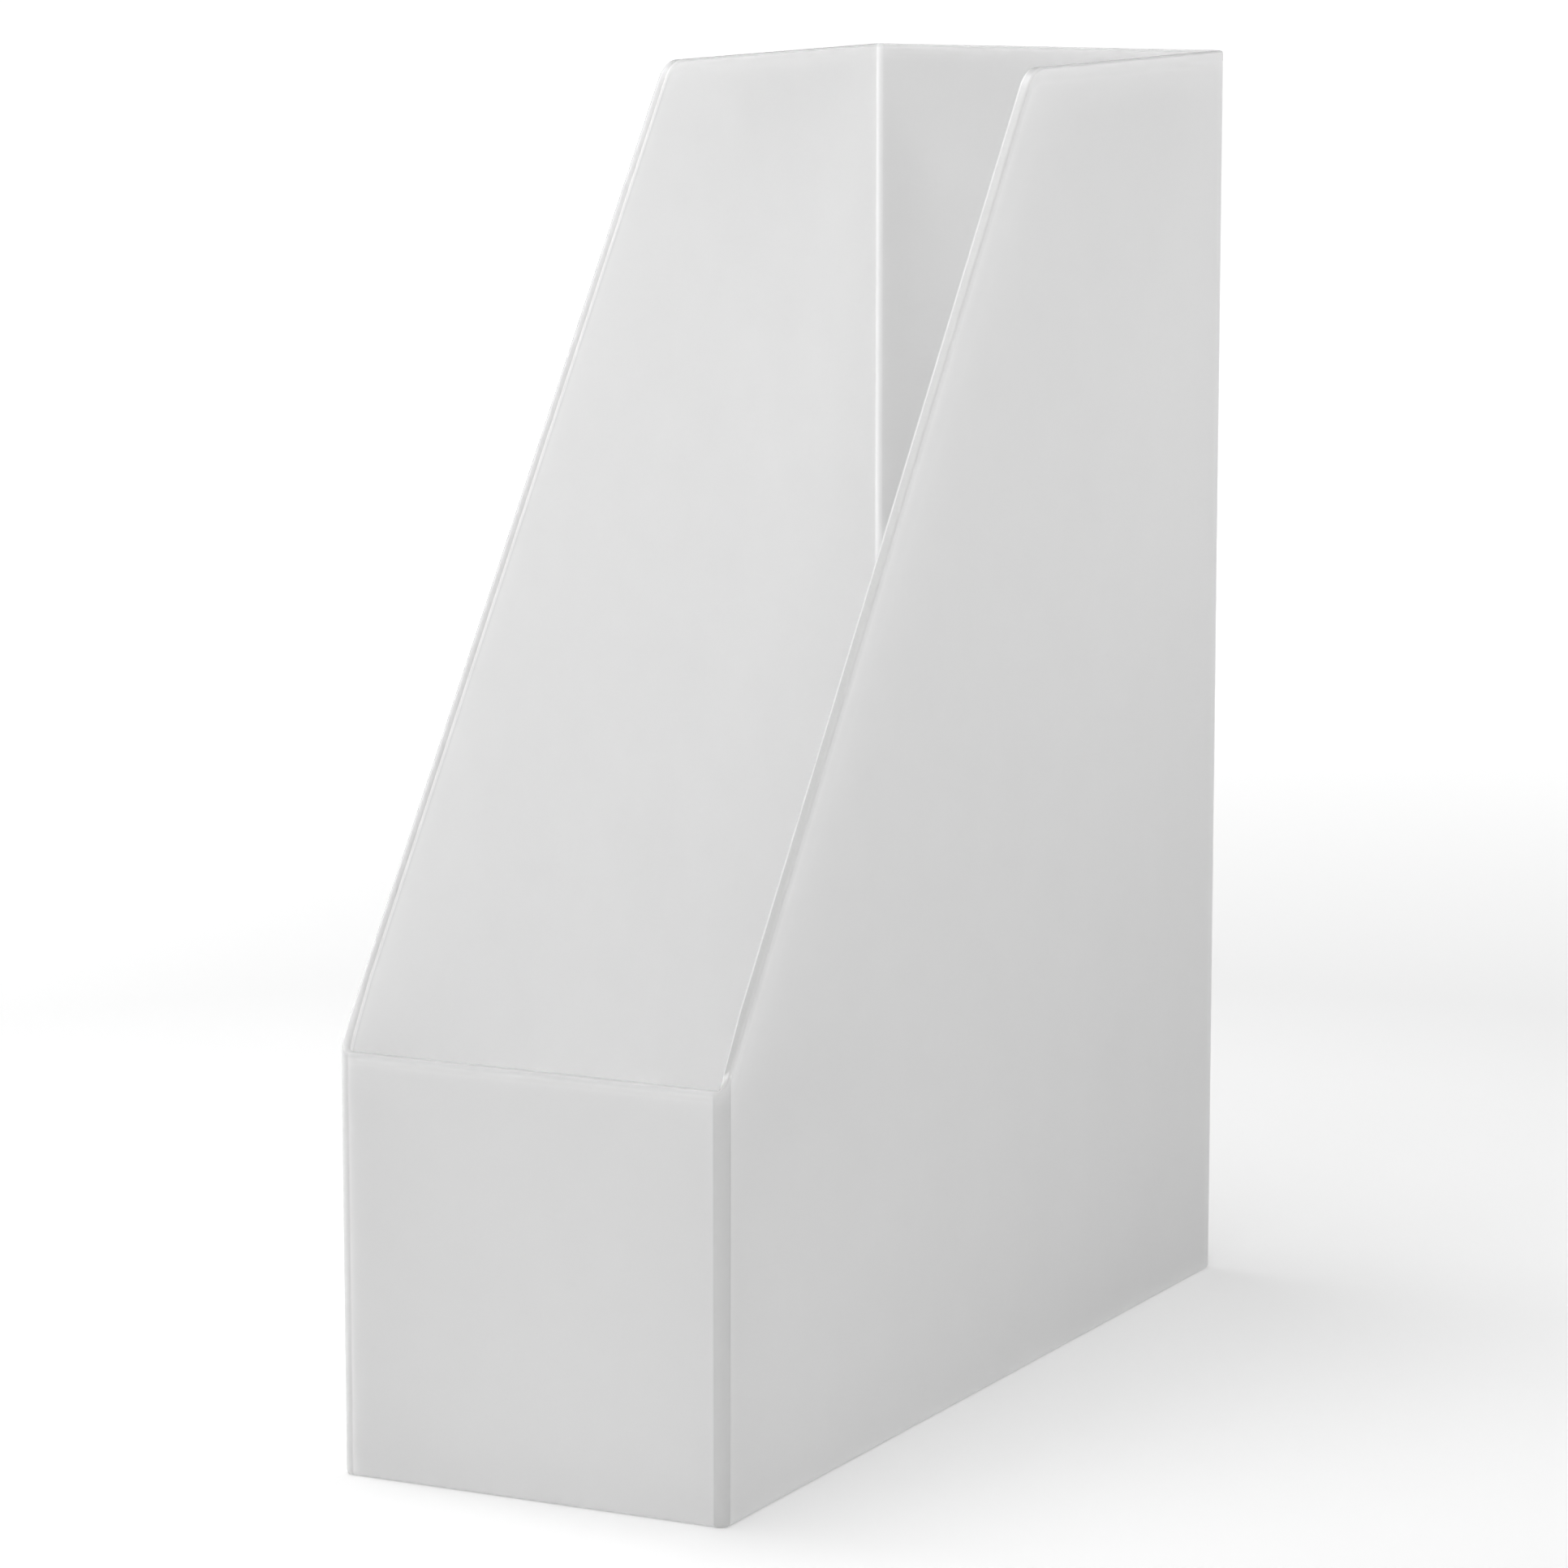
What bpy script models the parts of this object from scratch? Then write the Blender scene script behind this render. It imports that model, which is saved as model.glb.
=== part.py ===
"""An open magazine file: one injection-moulded box, drawn wall by wall.

It has a low front, a high back and two side walls whose rim runs level from the back, turns a
rounded shoulder and slopes down to the front. The five walls of the moulding are separate solids
here, a hair apart, so that each is a simple plate around the space for the papers.

X runs across, -Y is the front and Z is up. The origin is on the ground, under the middle.
"""

import math

import bmesh
import bpy
from mathutils import Matrix

# Driving dimensions, in metres, over the outside of the moulding at its rims.
WIDTH = 0.100
DEPTH = 0.276
HEIGHT = 0.318
FRONT_HEIGHT = 0.0995
TOP_EDGE = 0.117  # level rim of a side wall, from the back to where the slope would meet it
SHOULDER_RADIUS = 0.011
WALL = 0.0025

# Each wall leans out by this much for each metre of height, so that the box leaves its mould.
SIDE_DRAFT = 0.0005
END_DRAFT = 0.001

CORNER_RADIUS = 0.0022  # upright outer corners
BASE_RADIUS = 0.0011  # outer edge round the foot of the box
EDGE_RADIUS = 0.0004  # every other edge, the rims among them
GAP = 0.0003

SHOULDER_STEPS = 10
CORNER_STEPS = 5
EDGE_STEPS = 2
OBJECT_NAME = "magazine_rack"


def clear_scene():
    for obj in list(bpy.data.objects):
        bpy.data.objects.remove(obj, do_unlink=True)


def side_face(z):
    """How far a side wall's outer face stands from the middle, at height z."""
    return WIDTH / 2 - SIDE_DRAFT * (HEIGHT - z)


def front_face(z):
    """Y of the front wall's outer face, at height z."""
    return -DEPTH / 2 + END_DRAFT * (FRONT_HEIGHT - z)


def rear_face(z):
    """Y of the rear wall's outer face, at height z."""
    return DEPTH / 2 - END_DRAFT * (HEIGHT - z)


def polypropylene():
    material = bpy.data.materials.new("frosted_polypropylene")
    material.use_nodes = True
    shader = material.node_tree.nodes["Principled BSDF"]
    shader.inputs["Base Color"].default_value = (0.70, 0.70, 0.70, 1.0)
    shader.inputs["Roughness"].default_value = 0.42
    shader.inputs["Metallic"].default_value = 0.0
    return material


def plate_mesh(name, outline, collection):
    """A plate as thick as the walls, in its own XY plane, with flat faces and no loose caps."""
    curve = bpy.data.curves.new(name + "_outline", "CURVE")
    curve.dimensions = "2D"
    curve.fill_mode = "BOTH"
    curve.extrude = WALL / 2
    spline = curve.splines.new("POLY")
    spline.points.add(len(outline) - 1)
    for point, (x, y) in zip(spline.points, outline):
        point.co = (x, y, 0.0, 1.0)
    spline.use_cyclic_u = True

    guide = bpy.data.objects.new(name + "_outline", curve)
    collection.objects.link(guide)
    graph = bpy.context.evaluated_depsgraph_get()
    mesh = bpy.data.meshes.new_from_object(guide.evaluated_get(graph))
    bpy.data.objects.remove(guide)
    mesh.name = name

    bm = bmesh.new()
    bm.from_mesh(mesh)
    bmesh.ops.remove_doubles(bm, verts=bm.verts, dist=0.00001)
    bmesh.ops.dissolve_limit(bm, angle_limit=math.radians(0.5), verts=bm.verts, edges=bm.edges)
    bmesh.ops.recalc_face_normals(bm, faces=bm.faces)
    bm.to_mesh(mesh)
    bm.free()
    return mesh


def mark_rounded_edges(mesh, outward, round_uprights):
    """Gives the outer foot edge, and the outer upright edges if asked, their share of the corner radius."""
    weights = mesh.attributes.new("bevel_weight_edge", "FLOAT", "EDGE")
    for edge in mesh.edges:
        start, end = (mesh.vertices[i].co for i in edge.vertices)
        if min(start.z * outward, end.z * outward) < 0:
            continue
        along = (end - start).normalized()
        if max(start.y, end.y) < GAP:
            weights.data[edge.index].value = BASE_RADIUS / CORNER_RADIUS
        elif round_uprights and abs(along.y) > 0.99:
            weights.data[edge.index].value = 1.0


def round_marked_edges(obj):
    corners = obj.modifiers.new("corners", "BEVEL")
    corners.limit_method = "WEIGHT"
    corners.width = CORNER_RADIUS
    corners.segments = CORNER_STEPS


def round_sharp_edges(obj):
    edges = obj.modifiers.new("edges", "BEVEL")
    edges.limit_method = "ANGLE"
    edges.angle_limit = math.radians(30)
    edges.width = EDGE_RADIUS
    edges.segments = EDGE_STEPS


def finish_node(obj, material, parent):
    obj.data.materials.clear()
    obj.data.materials.append(material)
    obj.data.shade_smooth()
    obj.data.set_sharp_from_angle(angle=math.radians(30))
    obj.parent = parent


def add_wall(name, outline, outward, draft, round_uprights, location, turn, collection):
    """A plate stood upright, its own +Z turned to outward * the wall's outer side, leaning out by draft."""
    mesh = plate_mesh(name, outline, collection)
    mark_rounded_edges(mesh, outward, round_uprights)
    lean = Matrix.Identity(4)
    lean[2][1] = outward * draft
    mesh.transform(lean)
    wall = bpy.data.objects.new(name, mesh)
    wall.location = location
    wall.rotation_euler = (math.radians(90), 0, turn)
    collection.objects.link(wall)
    round_marked_edges(wall)
    round_sharp_edges(wall)
    return wall


def side_outline():
    """The side wall in (y, z), from the foot of the front round to the foot of the back."""
    shoulder_y = DEPTH / 2 - TOP_EDGE
    slope = math.atan2(HEIGHT - FRONT_HEIGHT, shoulder_y - front_face(FRONT_HEIGHT))
    centre_y = shoulder_y + SHOULDER_RADIUS * math.tan(slope / 2)
    centre_z = HEIGHT - SHOULDER_RADIUS
    outline = [(front_face(0), 0), (front_face(FRONT_HEIGHT), FRONT_HEIGHT)]
    for step in range(SHOULDER_STEPS + 1):
        turned = slope * (1 - step / SHOULDER_STEPS)
        outline.append(
            (
                centre_y - SHOULDER_RADIUS * math.sin(turned),
                centre_z + SHOULDER_RADIUS * math.cos(turned),
            )
        )
    outline += [(rear_face(HEIGHT), HEIGHT), (rear_face(0), 0)]
    return outline


def end_outline(height):
    """An end wall in (x, z), which fills the width between the side walls."""
    foot = side_face(0) - WALL - GAP
    rim = side_face(height) - WALL - GAP
    return [(-foot, 0), (foot, 0), (rim, height), (-rim, height)]


def add_side_walls(collection):
    across = side_face(0) - WALL / 2
    turn = math.radians(90)
    for name, outward in (("left_side_wall", -1), ("right_side_wall", 1)):
        place = (outward * across, 0, 0)
        yield add_wall(name, side_outline(), outward, SIDE_DRAFT, True, place, turn, collection)


def add_front_wall(collection):
    place = (0, front_face(0) + WALL / 2, 0)
    outline = end_outline(FRONT_HEIGHT)
    return add_wall("front_wall", outline, 1, END_DRAFT, False, place, 0, collection)


def add_rear_wall(collection):
    place = (0, rear_face(0) - WALL / 2, 0)
    outline = end_outline(HEIGHT)
    return add_wall("rear_wall", outline, -1, END_DRAFT, False, place, 0, collection)


def add_floor(collection):
    half_width = side_face(0) - WALL - GAP
    front = front_face(0) + WALL + GAP
    back = rear_face(0) - WALL - GAP
    bpy.ops.mesh.primitive_cube_add(size=1, location=(0, (front + back) / 2, WALL / 2))
    floor = bpy.context.object
    floor.name = "floor"
    floor.data.name = "floor"
    floor.scale = (2 * half_width, back - front, WALL)
    bpy.ops.object.transform_apply(location=False, rotation=False, scale=True)
    for holder in list(floor.users_collection):
        holder.objects.unlink(floor)
    collection.objects.link(floor)
    round_sharp_edges(floor)
    return floor


def main():
    clear_scene()
    collection = bpy.data.collections.new(OBJECT_NAME)
    bpy.context.scene.collection.children.link(collection)
    origin = bpy.data.objects.new(OBJECT_NAME + "_origin", None)
    collection.objects.link(origin)

    walls = [*add_side_walls(collection), add_front_wall(collection), add_rear_wall(collection)]
    walls.append(add_floor(collection))
    material = polypropylene()
    for wall in walls:
        finish_node(wall, material, origin)


main()
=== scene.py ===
"""The looks of the magazine file: one seamless moulding of translucent polypropylene.

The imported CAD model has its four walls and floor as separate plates. Here one closed shell stands
for all five. It is swept round the box station by station, with the rounded corners, rims and
fillets of a real moulding. Its outer sizes and wall come from the CAD nodes' own boxes. Lengths
are in metres where nothing else is said.
"""

import math

import bpy
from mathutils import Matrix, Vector


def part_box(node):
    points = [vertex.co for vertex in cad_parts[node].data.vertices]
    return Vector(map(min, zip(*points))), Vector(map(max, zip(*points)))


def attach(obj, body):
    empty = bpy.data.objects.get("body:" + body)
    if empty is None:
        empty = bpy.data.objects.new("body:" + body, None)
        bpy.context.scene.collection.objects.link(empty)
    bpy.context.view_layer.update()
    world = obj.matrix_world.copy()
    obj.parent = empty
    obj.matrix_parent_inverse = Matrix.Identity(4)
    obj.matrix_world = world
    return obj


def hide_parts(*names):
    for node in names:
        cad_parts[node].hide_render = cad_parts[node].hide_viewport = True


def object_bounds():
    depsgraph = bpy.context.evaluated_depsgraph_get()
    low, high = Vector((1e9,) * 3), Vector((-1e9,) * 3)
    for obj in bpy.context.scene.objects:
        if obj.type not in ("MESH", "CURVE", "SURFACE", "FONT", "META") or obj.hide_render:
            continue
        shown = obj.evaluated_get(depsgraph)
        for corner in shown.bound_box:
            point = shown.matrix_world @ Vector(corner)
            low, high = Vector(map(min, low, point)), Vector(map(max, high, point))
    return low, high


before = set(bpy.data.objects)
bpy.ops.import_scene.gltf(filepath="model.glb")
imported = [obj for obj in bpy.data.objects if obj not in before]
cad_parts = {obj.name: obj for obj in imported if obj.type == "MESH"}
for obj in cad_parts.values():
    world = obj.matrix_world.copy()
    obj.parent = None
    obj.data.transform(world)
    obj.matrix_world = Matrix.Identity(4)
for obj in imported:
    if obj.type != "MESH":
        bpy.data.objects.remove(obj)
cad_low, cad_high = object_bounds()

# ---------------------------------------------------------------- camera

SENSOR = 36.0  # millimetres
LENS = 138.8  # millimetres
CAMERA_AZIMUTH = 27.1  # degrees from straight in front, towards the right side
CAMERA_ELEVATION = 9.27  # degrees
CAMERA_DISTANCE = 1.4668
CLIP_END = 100
AIM_ABOVE_FLOOR = 0.160
AIM_RIGHT = -0.00536
AIM_UP = -0.01489


def add_camera():
    azimuth = math.radians(CAMERA_AZIMUTH)
    elevation = math.radians(CAMERA_ELEVATION)
    back = Vector(
        (
            math.sin(azimuth) * math.cos(elevation),
            -math.cos(azimuth) * math.cos(elevation),
            math.sin(elevation),
        )
    )
    right = Vector((math.cos(azimuth), math.sin(azimuth), 0))
    up = back.cross(right)
    data = bpy.data.cameras.new("camera")
    data.sensor_width = SENSOR
    data.lens = LENS
    data.clip_end = CLIP_END
    camera = bpy.data.objects.new("camera", data)
    bpy.context.scene.collection.objects.link(camera)
    aim = Vector((0, 0, AIM_ABOVE_FLOOR)) + right * AIM_RIGHT + up * AIM_UP
    camera.location = aim + back * CAMERA_DISTANCE
    camera.rotation_mode = "QUATERNION"
    camera.rotation_quaternion = (-back).to_track_quat("-Z", "Y")
    bpy.context.scene.camera = camera


# ---------------------------------------------------------------- the moulding's shape

HALF_WIDTH = cad_high.x
FRONT = cad_low.y
REAR = cad_high.y
HEIGHT = cad_high.z
FRONT_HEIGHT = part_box("front_wall")[1].z
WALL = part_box("floor")[1].z

SIDE_DRAFT = 0.0005  # how far a side wall leans out for each metre of height
END_DRAFT = 0.001  # the same for the front and rear walls

LEVEL_RIM = 0.117  # from the back to where the slope would meet the level rim
SHOULDER_RADIUS = 0.011
OUTER_CORNER = 0.0027
FRONT_INNER_CORNER = 0.0004
REAR_INNER_CORNER = 0.0013
SMALLEST_CORNER = 0.0003
CORNER_MARGIN = 0.0002
FOOT_RADIUS = 0.0011
OUTER_RIM_RADIUS = 0.0007
INNER_RIM_RADIUS = 0.0003
RAMP = 0.004  # how far the inner edge of the rim takes to climb from the front rim to the slope
FLOOR_FILLET = 0.0010
TINY = 1e-6  # slack in comparing lengths

SHOULDER_START = REAR - LEVEL_RIM
SLOPE = math.atan2(HEIGHT - FRONT_HEIGHT, SHOULDER_START - FRONT)
SHOULDER_Y = SHOULDER_START + SHOULDER_RADIUS * math.tan(SLOPE / 2)
SHOULDER_Z = HEIGHT - SHOULDER_RADIUS
SHOULDER_FOOT = SHOULDER_Y - SHOULDER_RADIUS * math.sin(SLOPE)

CORNER_ZONE = WALL + REAR_INNER_CORNER + CORNER_MARGIN  # how far a corner reaches along a wall
CORNER_LEAD = CORNER_ZONE - OUTER_CORNER
CORNER_ARC = OUTER_CORNER * math.pi / 2
ZONE_LENGTH = 2 * CORNER_LEAD + CORNER_ARC


def side_face(z):
    return HALF_WIDTH - SIDE_DRAFT * (HEIGHT - z)


def front_face(z):
    return FRONT + END_DRAFT * max(0.0, FRONT_HEIGHT - z)


def rear_face(z):
    return REAR - END_DRAFT * (HEIGHT - z)


def rim_height(y):
    """Height of the rim over a side wall, which also lifts it through the front corners."""
    if y >= SHOULDER_Y:
        return HEIGHT
    if y >= SHOULDER_FOOT:
        return SHOULDER_Z + math.sqrt(SHOULDER_RADIUS**2 - (SHOULDER_Y - y) ** 2)
    return FRONT_HEIGHT + (y - FRONT) * math.tan(SLOPE)


def inner_rim_height(y):
    """The same over the inner faces, where the rim starts to climb behind the front wall."""
    start = FRONT + WALL
    if y >= start + RAMP:
        return rim_height(y)
    top = rim_height(start + RAMP)
    return FRONT_HEIGHT + (top - FRONT_HEIGHT) * max(0.0, y - start) / RAMP


def corner_point(k, inset, inner_corner):
    """A point k of the way round a corner: how far in from each of the two outer faces it lies.

    The path runs straight, turns a quarter circle and runs straight again, at any depth.
    """
    share = min(inset / WALL, 1.0)
    radius = OUTER_CORNER + (inner_corner - OUTER_CORNER) * share
    radius = max(radius - max(inset - WALL, 0.0), SMALLEST_CORNER)
    run = k * ZONE_LENGTH
    reach = CORNER_ZONE - inset - radius
    if run <= CORNER_LEAD:
        return CORNER_ZONE - reach * run / CORNER_LEAD, inset
    if run >= CORNER_LEAD + CORNER_ARC:
        return inset, CORNER_ZONE - reach * (ZONE_LENGTH - run) / CORNER_LEAD
    turned = math.pi / 2 * (run - CORNER_LEAD) / CORNER_ARC
    return (
        inset + radius * (1 - math.sin(turned)),
        inset + radius * (1 - math.cos(turned)),
    )


# The half loop runs from the middle of the front, round the right side, to the middle of the rear.
# Its length is measured along the outer faces.
FRONT_RUN = HALF_WIDTH - CORNER_ZONE
SIDE_RUN = REAR - FRONT - 2 * CORNER_ZONE
FRONT_CORNER_END = FRONT_RUN + ZONE_LENGTH
REAR_CORNER_START = FRONT_CORNER_END + SIDE_RUN
REAR_CORNER_END = REAR_CORNER_START + ZONE_LENGTH
HALF_LOOP = REAR_CORNER_END + FRONT_RUN


def plan_point(run, inset, z):
    """(x, y) on the right half: run along the loop, inset from the outer face, at height z."""
    side = side_face(z)
    front = front_face(z)
    rear = rear_face(z)
    run = min(max(run, 0.0), HALF_LOOP)
    if run <= FRONT_RUN:
        return run / FRONT_RUN * (side - CORNER_ZONE), front + inset
    if run < FRONT_CORNER_END:
        share = (run - FRONT_RUN) / ZONE_LENGTH
        along, out = corner_point(share, inset, FRONT_INNER_CORNER)
        return side - along, front + out
    if run <= REAR_CORNER_START:
        share = (run - FRONT_CORNER_END) / SIDE_RUN
        start = front + CORNER_ZONE
        return side - inset, start + share * (rear - CORNER_ZONE - start)
    if run < REAR_CORNER_END:
        share = (run - REAR_CORNER_START) / ZONE_LENGTH
        along, out = corner_point(share, inset, REAR_INNER_CORNER)
        return side - out, rear - along
    return (HALF_LOOP - run) / FRONT_RUN * (side - CORNER_ZONE), rear - inset


def rim_at(run):
    """The rim at one station: its height over the outer and inner faces, and its climb."""
    step = 0.00005
    before, here, after = (
        rim_height(plan_point(run + move, 0.0, HEIGHT)[1]) for move in (-step, 0.0, step)
    )
    inner = inner_rim_height(plan_point(run, WALL, HEIGHT)[1])
    return here, inner, math.atan2(after - before, 2 * step)


def quarter(radius, steps):
    """A quarter round as (in, down) pairs, from the face it leaves to the one it meets."""
    turns = [math.pi / 2 * i / steps for i in range(steps + 1)]
    return [(radius * (1 - math.cos(turn)), radius * (1 - math.sin(turn))) for turn in turns]


def spread(start, end, count):
    """Evenly spaced from start up to end, which is left out."""
    return [start + (end - start) * i / count for i in range(count)]


END_STATIONS = 7  # on half of the front or rear wall
LEAD_STATIONS = 3
ARC_STATIONS = 10
SLOPE_STATIONS = 20
SHOULDER_STATIONS = 16
LEVEL_STATIONS = 12
EDGE_ROW = 0.0006  # a narrow row beside each bend, so that the flat face next to it stays flat


def corner_stations(start):
    bend = start + CORNER_LEAD
    return [
        *spread(start, bend, LEAD_STATIONS),
        *spread(bend, bend + CORNER_ARC, ARC_STATIONS),
        *spread(bend + CORNER_ARC, start + ZONE_LENGTH, LEAD_STATIONS),
    ]


def half_loop_stations():
    """Where the cross-sections stand: close together round the corners and over the shoulder."""
    y_to_run = FRONT_CORNER_END - (FRONT + CORNER_ZONE)
    foot = SHOULDER_FOOT + y_to_run
    level = SHOULDER_Y + y_to_run
    shoulder = [
        level - SHOULDER_RADIUS * math.sin(SLOPE * (1 - i / SHOULDER_STATIONS))
        for i in range(SHOULDER_STATIONS)
    ]
    return [
        *spread(0.0, FRONT_RUN, END_STATIONS),
        *corner_stations(FRONT_RUN),
        *spread(FRONT_CORNER_END, foot - EDGE_ROW, SLOPE_STATIONS),
        foot - EDGE_ROW,
        *shoulder,
        level,
        *spread(level + EDGE_ROW, REAR_CORNER_START, LEVEL_STATIONS),
        *corner_stations(REAR_CORNER_START),
        *spread(REAR_CORNER_END, HALF_LOOP, END_STATIONS),
        HALF_LOOP,
    ]


# Each point of the mesh says how much it belongs to the rim, a front corner, a rear fillet or a
# bright edge line. The material darkens the rim and the front corners with painted shade, lightens
# the fillets and the edge lines with painted highlights, and gives the rim and the fillets their
# own roughness.
SHARES = ("rim_share", "corner_shade_share", "fillet_share", "highlight_line_share")
OUTER_REAR_SHARE = 0.5  # how much of a fillet's painted highlight the outer round of a rear corner gets
OUTER_RIM_SHARE = 0.6  # how much of the rim's painted shade and gloss the top of the outer face gets
INNER_RIM_SHARE = 0.4  # and the top of the inner face

# How far from its place each share fades out.
CORNER_FADE = 0.00045
HIGHLIGHT_LINE_FADE = 0.0004
OUTER_RIM_FADE = 0.0036
FRONT_RIM_FADE = 0.001
INNER_RIM_FADE = 0.0022

RIM_STEPS = 5
FOOT_STEPS = 5
FILLET_STEPS = 6
WALL_ROWS = 22
TOP_ROWS = (5, 3, 1)  # how many edge rows under the rim the last rows of a wall lie


def wall_rows(low, high):
    """Shares of the way up a wall, closer together just under the rim."""
    edge = EDGE_ROW / (high - low)
    under_rim = [1 - rows * edge for rows in TOP_ROWS]
    return [*spread(edge, under_rim[0], WALL_ROWS), *under_rim]


def fade_out(distance, reach):
    """1 at no distance, and 0 from reach on."""
    return max(0.0, 1 - distance / reach)


def on_corner(run, start):
    """1 on the round of the corner whose zone begins at start, and 0 a little way outside it."""
    bend = start + CORNER_LEAD
    outside = max(bend - run, run - bend - CORNER_ARC, 0.0)
    return fade_out(outside, CORNER_FADE)


def cross_section(run):
    """The section at one station, from the underside, over the rim, to the inside floor.

    Each of its points is a place and that place's four shares.
    """
    outer_height, inner_height, climb = rim_at(run)
    # painted shade on the rounds of the front corners
    front_corner_shade = on_corner(run, FRONT_RUN)
    # painted highlight in the rear fillets
    rear_corner = on_corner(run, REAR_CORNER_START)
    # painted highlight: a bright line down each front corner where its round meets the side face
    line_at = FRONT_RUN + CORNER_LEAD + CORNER_ARC
    corner_highlight_line = fade_out(abs(run - line_at), HIGHLIGHT_LINE_FADE)
    # painted highlight along the inner round of the sloped rim, in place of the rim's painted shade
    rim_highlight_line = min(1.0, max(0.0, climb))
    rim_fade = OUTER_RIM_FADE if run > FRONT_CORNER_END else FRONT_RIM_FADE
    points = []

    def add(move, inset, z, rim=0.0, line=0.0):
        x, y = plan_point(run + move, inset, z)
        outside = inset < WALL / 2
        shares = (
            rim,
            front_corner_shade if outside else 0.0,
            rear_corner * (OUTER_REAR_SHARE if outside else 1 - rim),
            corner_highlight_line if outside else line,
        )
        points.append(((x, y, z), shares))

    def rim_point(inset, down, rim, line=0.0):
        height = outer_height + (inner_height - outer_height) * inset / WALL
        add(down * math.sin(climb), inset, height - down * math.cos(climb), rim, line)

    for inset, down in quarter(FOOT_RADIUS, FOOT_STEPS)[::-1]:
        add(0.0, inset, down)
    top = outer_height - OUTER_RIM_RADIUS * math.cos(climb)
    lean = OUTER_RIM_RADIUS * math.sin(climb)
    for share in wall_rows(FOOT_RADIUS, top):
        z = FOOT_RADIUS + (top - FOOT_RADIUS) * share
        add(lean * share, 0.0, z, OUTER_RIM_SHARE * fade_out(top - z, rim_fade))
    for i, (inset, down) in enumerate(quarter(OUTER_RIM_RADIUS, RIM_STEPS)):
        rim_point(inset, down, OUTER_RIM_SHARE + (1 - OUTER_RIM_SHARE) * i / RIM_STEPS)
    rim_point(WALL - 2 * INNER_RIM_RADIUS, 0.0, 1.0)
    for inset, down in quarter(INNER_RIM_RADIUS, RIM_STEPS)[::-1]:
        rim_point(WALL - inset, down, 1 - rim_highlight_line, rim_highlight_line)
    top = inner_height - INNER_RIM_RADIUS * math.cos(climb)
    lean = INNER_RIM_RADIUS * math.sin(climb)
    bottom = WALL + FLOOR_FILLET
    for share in reversed(wall_rows(bottom, top)):
        z = bottom + (top - bottom) * share
        add(lean * share, WALL, z, INNER_RIM_SHARE * fade_out(top - z, INNER_RIM_FADE))
    for inset, down in quarter(FLOOR_FILLET, FILLET_STEPS):
        add(0.0, WALL + inset, WALL + down)
    return points


GATE_STEPS = 24
GATE_RINGS = (
    # radius, height: a dished ring round the stub where the plastic was let into the mould
    (0.0030, 0.0),
    (0.0027, 0.0003),
    (0.0010, 0.0003),
    (0.0007, 0.0001),
)


def add_gate_mark(vertices, faces, strip):
    """Fills one strip of the underside round a gate mark at its middle."""
    left_front, right_front, right_rear, left_rear = strip
    middle = (vertices[right_front][1] + vertices[right_rear][1]) / 2
    rings = []
    for radius, z in GATE_RINGS:
        rings.append(range(len(vertices), len(vertices) + GATE_STEPS))
        for i in range(GATE_STEPS):
            turn = 2 * math.pi * i / GATE_STEPS
            vertices.append((radius * math.cos(turn), middle + radius * math.sin(turn), z))
    around = [*rings[0], rings[0][0]]
    half = GATE_STEPS // 2
    faces.append([*around[: half + 1], left_front, left_rear, right_rear])
    faces.append([*around[half:], right_rear, right_front, left_front])
    for outer, inner in zip(rings, rings[1:]):
        for i in range(GATE_STEPS):
            j = (i + 1) % GATE_STEPS
            faces.append((outer[i], inner[i], inner[j], outer[j]))
    faces.append(list(rings[-1])[::-1])


def closing_strips(stations, count):
    """Station numbers round each strip that crosses the flat face inside one row of points.

    The strips run from side to side, and the first and last take in the front and rear walls.
    """
    front_end = FRONT_RUN + CORNER_LEAD + TINY
    rear_start = REAR_CORNER_END - CORNER_LEAD - TINY
    front = max(i for i, run in enumerate(stations) if run <= front_end)
    rear = min(i for i, run in enumerate(stations) if run >= rear_start)
    return [
        [*range(count - front - 1, count), *range(front + 2)],
        *([count - i, i, i + 1, count - i - 1] for i in range(front + 1, rear - 1)),
        [*range(rear - 1, count - rear + 2)],
    ]


def build_shell():
    stations = half_loop_stations()
    right = [cross_section(run) for run in stations]
    left = [[((-x, y, z), shares) for (x, y, z), shares in section] for section in right[1:-1]]
    sections = right + left[::-1]
    per_section = len(sections[0])
    count = len(sections)
    vertices = [place for section in sections for place, shares in section]
    faces = []
    for i in range(count):
        here = i * per_section
        there = (i + 1) % count * per_section
        for j in range(per_section - 1):
            faces.append((here + j, there + j, there + j + 1, here + j + 1))

    for strip in closing_strips(stations, count):
        underside = [i * per_section for i in strip]
        inside_floor = [i + per_section - 1 for i in underside]
        if vertices[underside[1]][1] <= 0 < vertices[underside[2]][1]:
            add_gate_mark(vertices, faces, underside)
        else:
            faces.append(underside[::-1])
        faces.append(inside_floor)

    mesh = bpy.data.meshes.new("moulded_shell")
    mesh.from_pydata(vertices, [], faces)
    for i, name in enumerate(SHARES):
        attribute = mesh.attributes.new(name, "FLOAT", "POINT")
        values = [shares[i] for section in sections for place, shares in section]
        values += [0.0] * (len(vertices) - len(values))
        attribute.data.foreach_set("value", values)
    shell = bpy.data.objects.new("moulded_shell", mesh)
    bpy.context.scene.collection.objects.link(shell)
    return shell


# ---------------------------------------------------------------- materials


def add_node(tree, kind, inputs=(), **settings):
    node = tree.nodes.new(kind)
    for name, value in settings.items():
        setattr(node, name, value)
    for name, value in dict(inputs).items():
        node.inputs[name].default_value = value
    return node


def add_noise(tree, position, size, detail):
    """Noise whose blotches are about size metres across."""
    noise = add_node(tree, "ShaderNodeTexNoise", {"Scale": 1 / size, "Detail": detail})
    tree.links.new(position, noise.inputs["Vector"])
    return noise.outputs["Fac"]


NOISE_RANGE = (0.3, 0.7)


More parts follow.
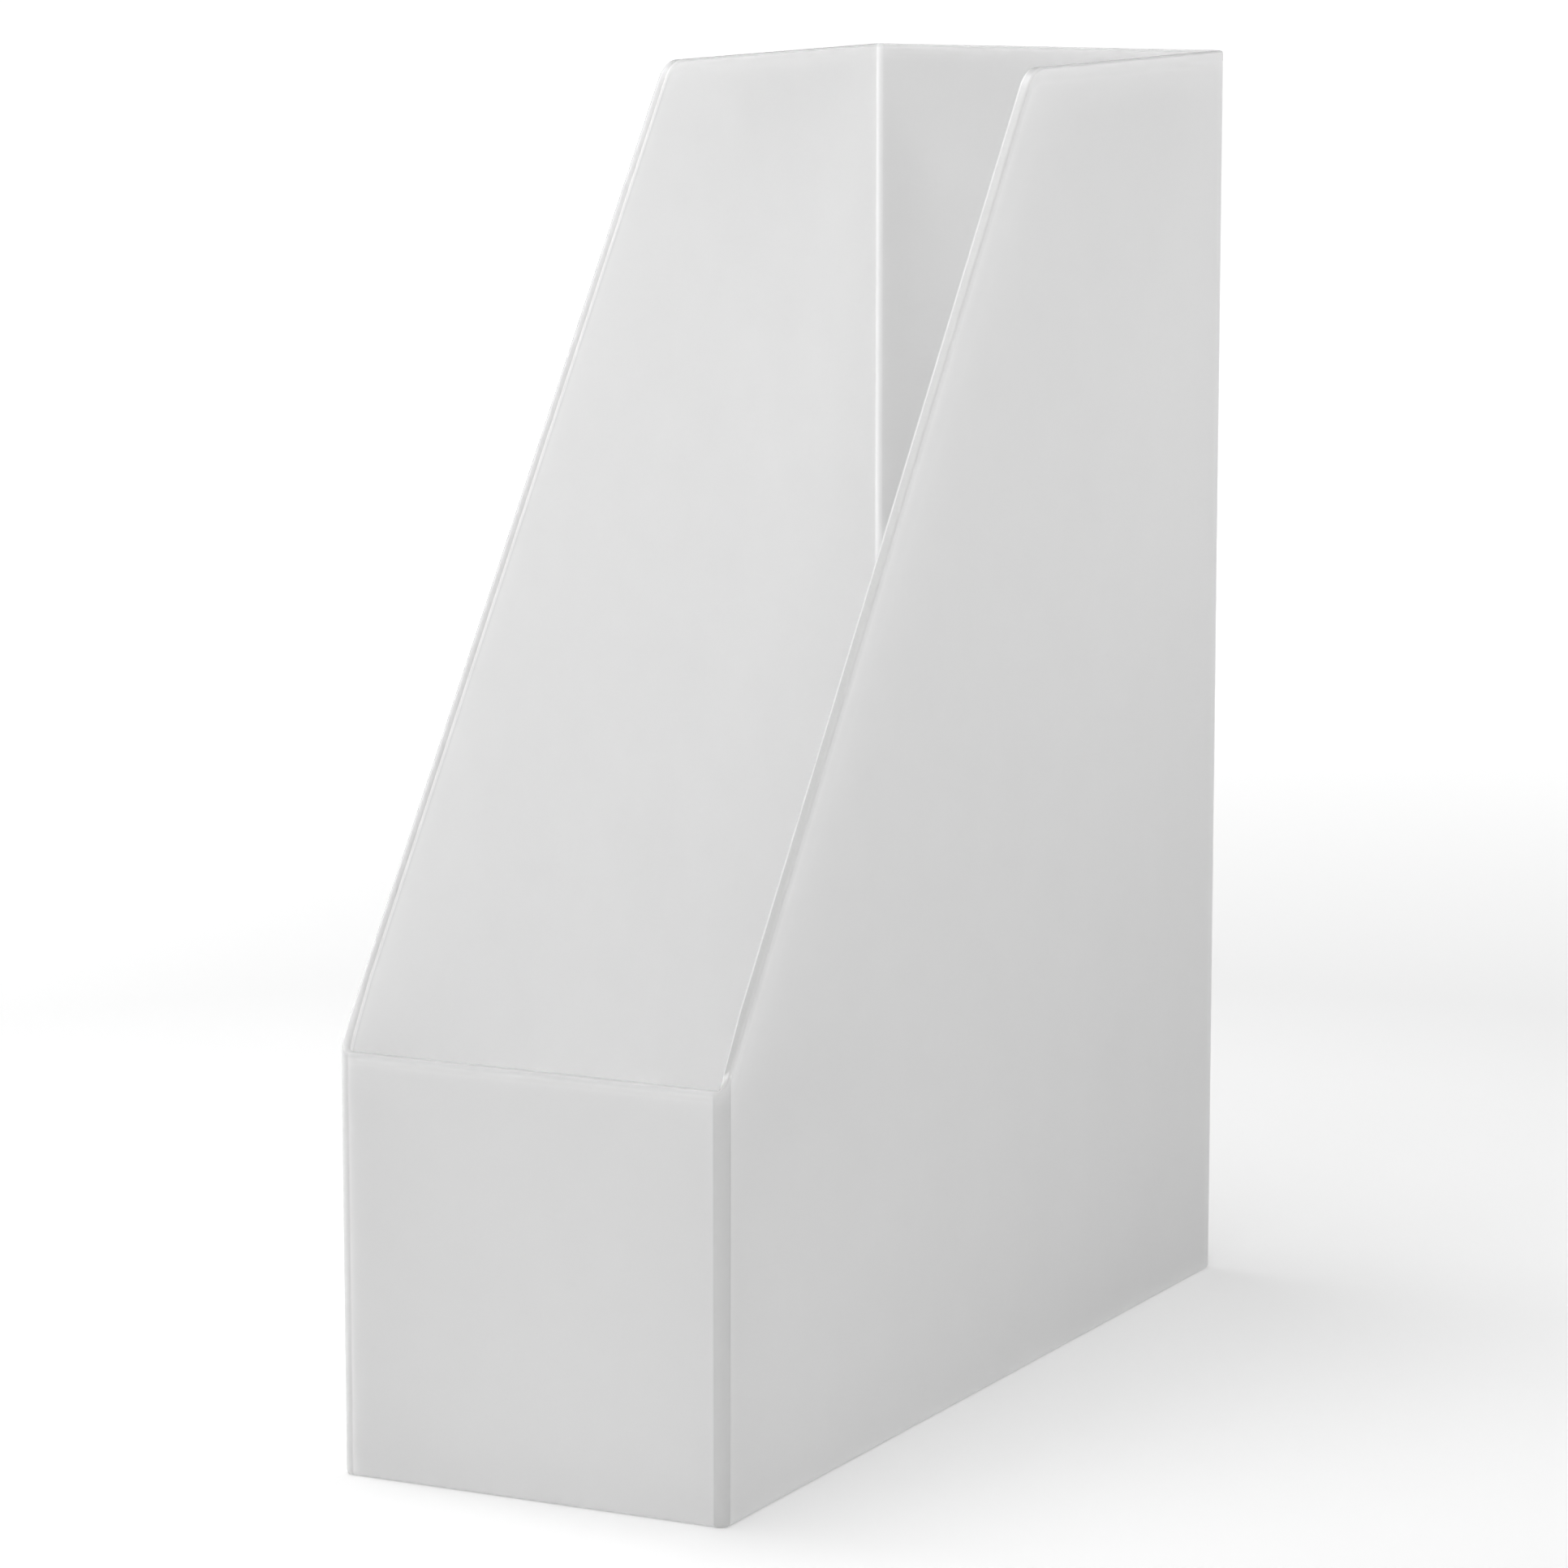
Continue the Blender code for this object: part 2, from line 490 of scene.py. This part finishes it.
def remap(tree, value, low, high, source=NOISE_RANGE):
    """low to high, as value goes over the source range."""
    node = add_node(
        tree,
        "ShaderNodeMapRange",
        {"From Min": source[0], "From Max": source[1], "To Min": low, "To Max": high},
    )
    tree.links.new(value, node.inputs["Value"])
    return node.outputs["Result"]


def blend_value(tree, share, start, end):
    """start where share is 0, end where it is 1; either may be a number or a socket."""
    node = add_node(tree, "ShaderNodeMix", data_type="FLOAT")
    tree.links.new(share, node.inputs[0])
    for socket, value in ((node.inputs[2], start), (node.inputs[3], end)):
        if isinstance(value, float):
            socket.default_value = value
        else:
            tree.links.new(value, socket)
    return node.outputs[0]


# Plastic pipes light along its rims and corners, which the scattering leaves out. The darker
# albedos there are painted shade on the rims and front corners, and the lighter ones are painted
# highlights on the edge lines and rear fillets.
PLASTIC_IOR = 1.49
BODY_ALBEDO = (0.885, 0.915)
RIM_PAINTED_SHADE_ALBEDO = 0.53
CORNER_PAINTED_SHADE_ALBEDO = 0.62
LINE_PAINTED_HIGHLIGHT_ALBEDO = 0.97
FILLET_PAINTED_HIGHLIGHT_ALBEDO = 0.99
SCATTER = 0.012
# the rear fillets scatter further, which helps their painted highlight
FILLET_SCATTER = 0.06
BODY_ROUGHNESS = (0.36, 0.44)
RIM_ROUGHNESS = 0.22
FILLET_ROUGHNESS = 0.2
CLOUD_SIZE = 0.045
CLOUD_DETAIL = 3.0
GRAIN_SIZE = 0.0006
GRAIN_DETAIL = 2.0
GRAIN_HEIGHT = 0.00002
GRAIN_STRENGTH = 0.3


def frosted_polypropylene():
    """Translucent white plastic with a satin skin, faint clouds and a fine grain."""
    material = bpy.data.materials.new("frosted_polypropylene")
    material.use_nodes = True
    tree = material.node_tree
    shader = tree.nodes["Principled BSDF"]
    shader.inputs["IOR"].default_value = PLASTIC_IOR
    shader.inputs["Subsurface Weight"].default_value = 1.0
    shader.inputs["Subsurface Radius"].default_value = (1.0, 1.0, 1.0)

    position = add_node(tree, "ShaderNodeTexCoord").outputs["Object"]
    clouds = add_noise(tree, position, CLOUD_SIZE, CLOUD_DETAIL)
    grain = add_noise(tree, position, GRAIN_SIZE, GRAIN_DETAIL)
    rim, corner, fillet, line = (
        add_node(tree, "ShaderNodeAttribute", attribute_name=name).outputs["Fac"]
        for name in SHARES
    )

    albedo = remap(tree, clouds, *BODY_ALBEDO)
    # painted shade: the front corners darker
    albedo = blend_value(tree, corner, albedo, CORNER_PAINTED_SHADE_ALBEDO)
    # painted highlight: the bright edge lines lighter
    albedo = blend_value(tree, line, albedo, LINE_PAINTED_HIGHLIGHT_ALBEDO)
    # painted shade: the rim and the tops of the faces under it darker
    albedo = blend_value(tree, rim, albedo, RIM_PAINTED_SHADE_ALBEDO)
    # painted highlight: the rear inner fillets almost white
    albedo = blend_value(tree, fillet, albedo, FILLET_PAINTED_HIGHLIGHT_ALBEDO)
    colour = add_node(tree, "ShaderNodeCombineColor")
    for name in ("Red", "Green", "Blue"):
        tree.links.new(albedo, colour.inputs[name])
    tree.links.new(colour.outputs["Color"], shader.inputs["Base Color"])

    scatter = blend_value(tree, fillet, SCATTER, FILLET_SCATTER)
    tree.links.new(scatter, shader.inputs["Subsurface Scale"])

    gloss = remap(tree, clouds, *BODY_ROUGHNESS)
    gloss = blend_value(tree, rim, gloss, RIM_ROUGHNESS)
    gloss = blend_value(tree, fillet, gloss, FILLET_ROUGHNESS)
    tree.links.new(gloss, shader.inputs["Roughness"])

    bump = add_node(
        tree, "ShaderNodeBump", {"Strength": GRAIN_STRENGTH, "Distance": GRAIN_HEIGHT}
    )
    tree.links.new(grain, bump.inputs["Height"])
    tree.links.new(bump.outputs["Normal"], shader.inputs["Normal"])
    return material


FLOOR_COLOUR = (0.93, 0.93, 0.93, 1)
FLOOR_ROUGHNESS = 0.7
FLOOR_SPECULAR = 0.2
NEAR_GLOW = 0.2
FAR_GLOW = 1.0
GLOW_RISE = (0.5, 1.6)  # how far from the object the glow starts to rise, and stops


def studio_floor():
    """A pale floor that glows a little, like a light table, and more away from the object."""
    material = bpy.data.materials.new("studio_floor")
    material.use_nodes = True
    tree = material.node_tree
    shader = tree.nodes["Principled BSDF"]
    shader.inputs["Base Color"].default_value = FLOOR_COLOUR
    shader.inputs["Roughness"].default_value = FLOOR_ROUGHNESS
    shader.inputs["Specular IOR Level"].default_value = FLOOR_SPECULAR
    shader.inputs["Emission Color"].default_value = (1, 1, 1, 1)
    position = add_node(tree, "ShaderNodeTexCoord").outputs["Object"]
    away = add_node(tree, "ShaderNodeVectorMath", operation="LENGTH")
    tree.links.new(position, away.inputs[0])
    glow = remap(tree, away.outputs["Value"], NEAR_GLOW, FAR_GLOW, GLOW_RISE)
    tree.links.new(glow, shader.inputs["Emission Strength"])
    return material


# ---------------------------------------------------------------- studio

FLOOR_REACH = 16.0


def add_floor():
    mesh = bpy.data.meshes.new("floor")
    reach = FLOOR_REACH
    mesh.from_pydata(
        [(-reach, -reach, 0), (reach, -reach, 0), (reach, reach, 0), (-reach, reach, 0)],
        [],
        [(0, 1, 2, 3)],
    )
    mesh.materials.append(studio_floor())
    floor = bpy.data.objects.new("studio_floor", mesh)
    bpy.context.scene.collection.objects.link(floor)


SOFTBOXES = (
    # name, azimuth and elevation in degrees, distance from the box's middle, size, watts
    ("top", 0, 88, 1.3, 1.3, 14.7),
    ("left", -90, 4, 1.4, 0.5, 7.4),
    ("top_left", -90, 70, 1.4, 0.8, 3.4),
    ("front_high", 0, 45, 1.6, 1.2, 3.0),
    ("front", -12, 10, 1.8, 1.1, 0.9),
)
HORIZON_GLOW = 1.0
SKY_GLOW = 0.05
SKY_FALL = (0.08, 0.16)  # sines of the elevations between which the glow falls


def add_softbox(name, azimuth, elevation, distance, size, watts):
    data = bpy.data.lights.new("softbox_" + name, "AREA")
    data.shape = "SQUARE"
    data.size = size
    data.energy = watts
    light = bpy.data.objects.new("softbox_" + name, data)
    bpy.context.scene.collection.objects.link(light)
    turn = math.radians(azimuth)
    rise = math.radians(elevation)
    away = Vector(
        (math.sin(turn) * math.cos(rise), -math.cos(turn) * math.cos(rise), math.sin(rise))
    )
    light.location = Vector((0, 0, HEIGHT / 2)) + away * distance
    light.rotation_mode = "QUATERNION"
    light.rotation_quaternion = (-away).to_track_quat("-Z", "Y")


def add_world():
    """White round the horizon, where it continues the floor, and dim above."""
    world = bpy.data.worlds.new("studio")
    world.use_nodes = True
    tree = world.node_tree
    background = tree.nodes["Background"]
    background.inputs["Color"].default_value = (1, 1, 1, 1)
    direction = add_node(tree, "ShaderNodeTexCoord").outputs["Generated"]
    split = add_node(tree, "ShaderNodeSeparateXYZ")
    tree.links.new(direction, split.inputs[0])
    glow = remap(tree, split.outputs["Z"], HORIZON_GLOW, SKY_GLOW, SKY_FALL)
    tree.links.new(glow, background.inputs["Strength"])
    bpy.context.scene.world = world


# ---------------------------------------------------------------- the scene

add_camera()

shell = build_shell()
for polygon in shell.data.polygons:
    polygon.use_smooth = True
normals = shell.modifiers.new("flat_faces_stay_flat", "WEIGHTED_NORMAL")
normals.keep_sharp = True
shell.data.materials.append(frosted_polypropylene())
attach(shell, "root")
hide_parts("left_side_wall", "right_side_wall", "front_wall", "rear_wall", "floor")

add_floor()
for softbox in SOFTBOXES:
    add_softbox(*softbox)
add_world()
bpy.context.scene.view_settings.view_transform = "Standard"
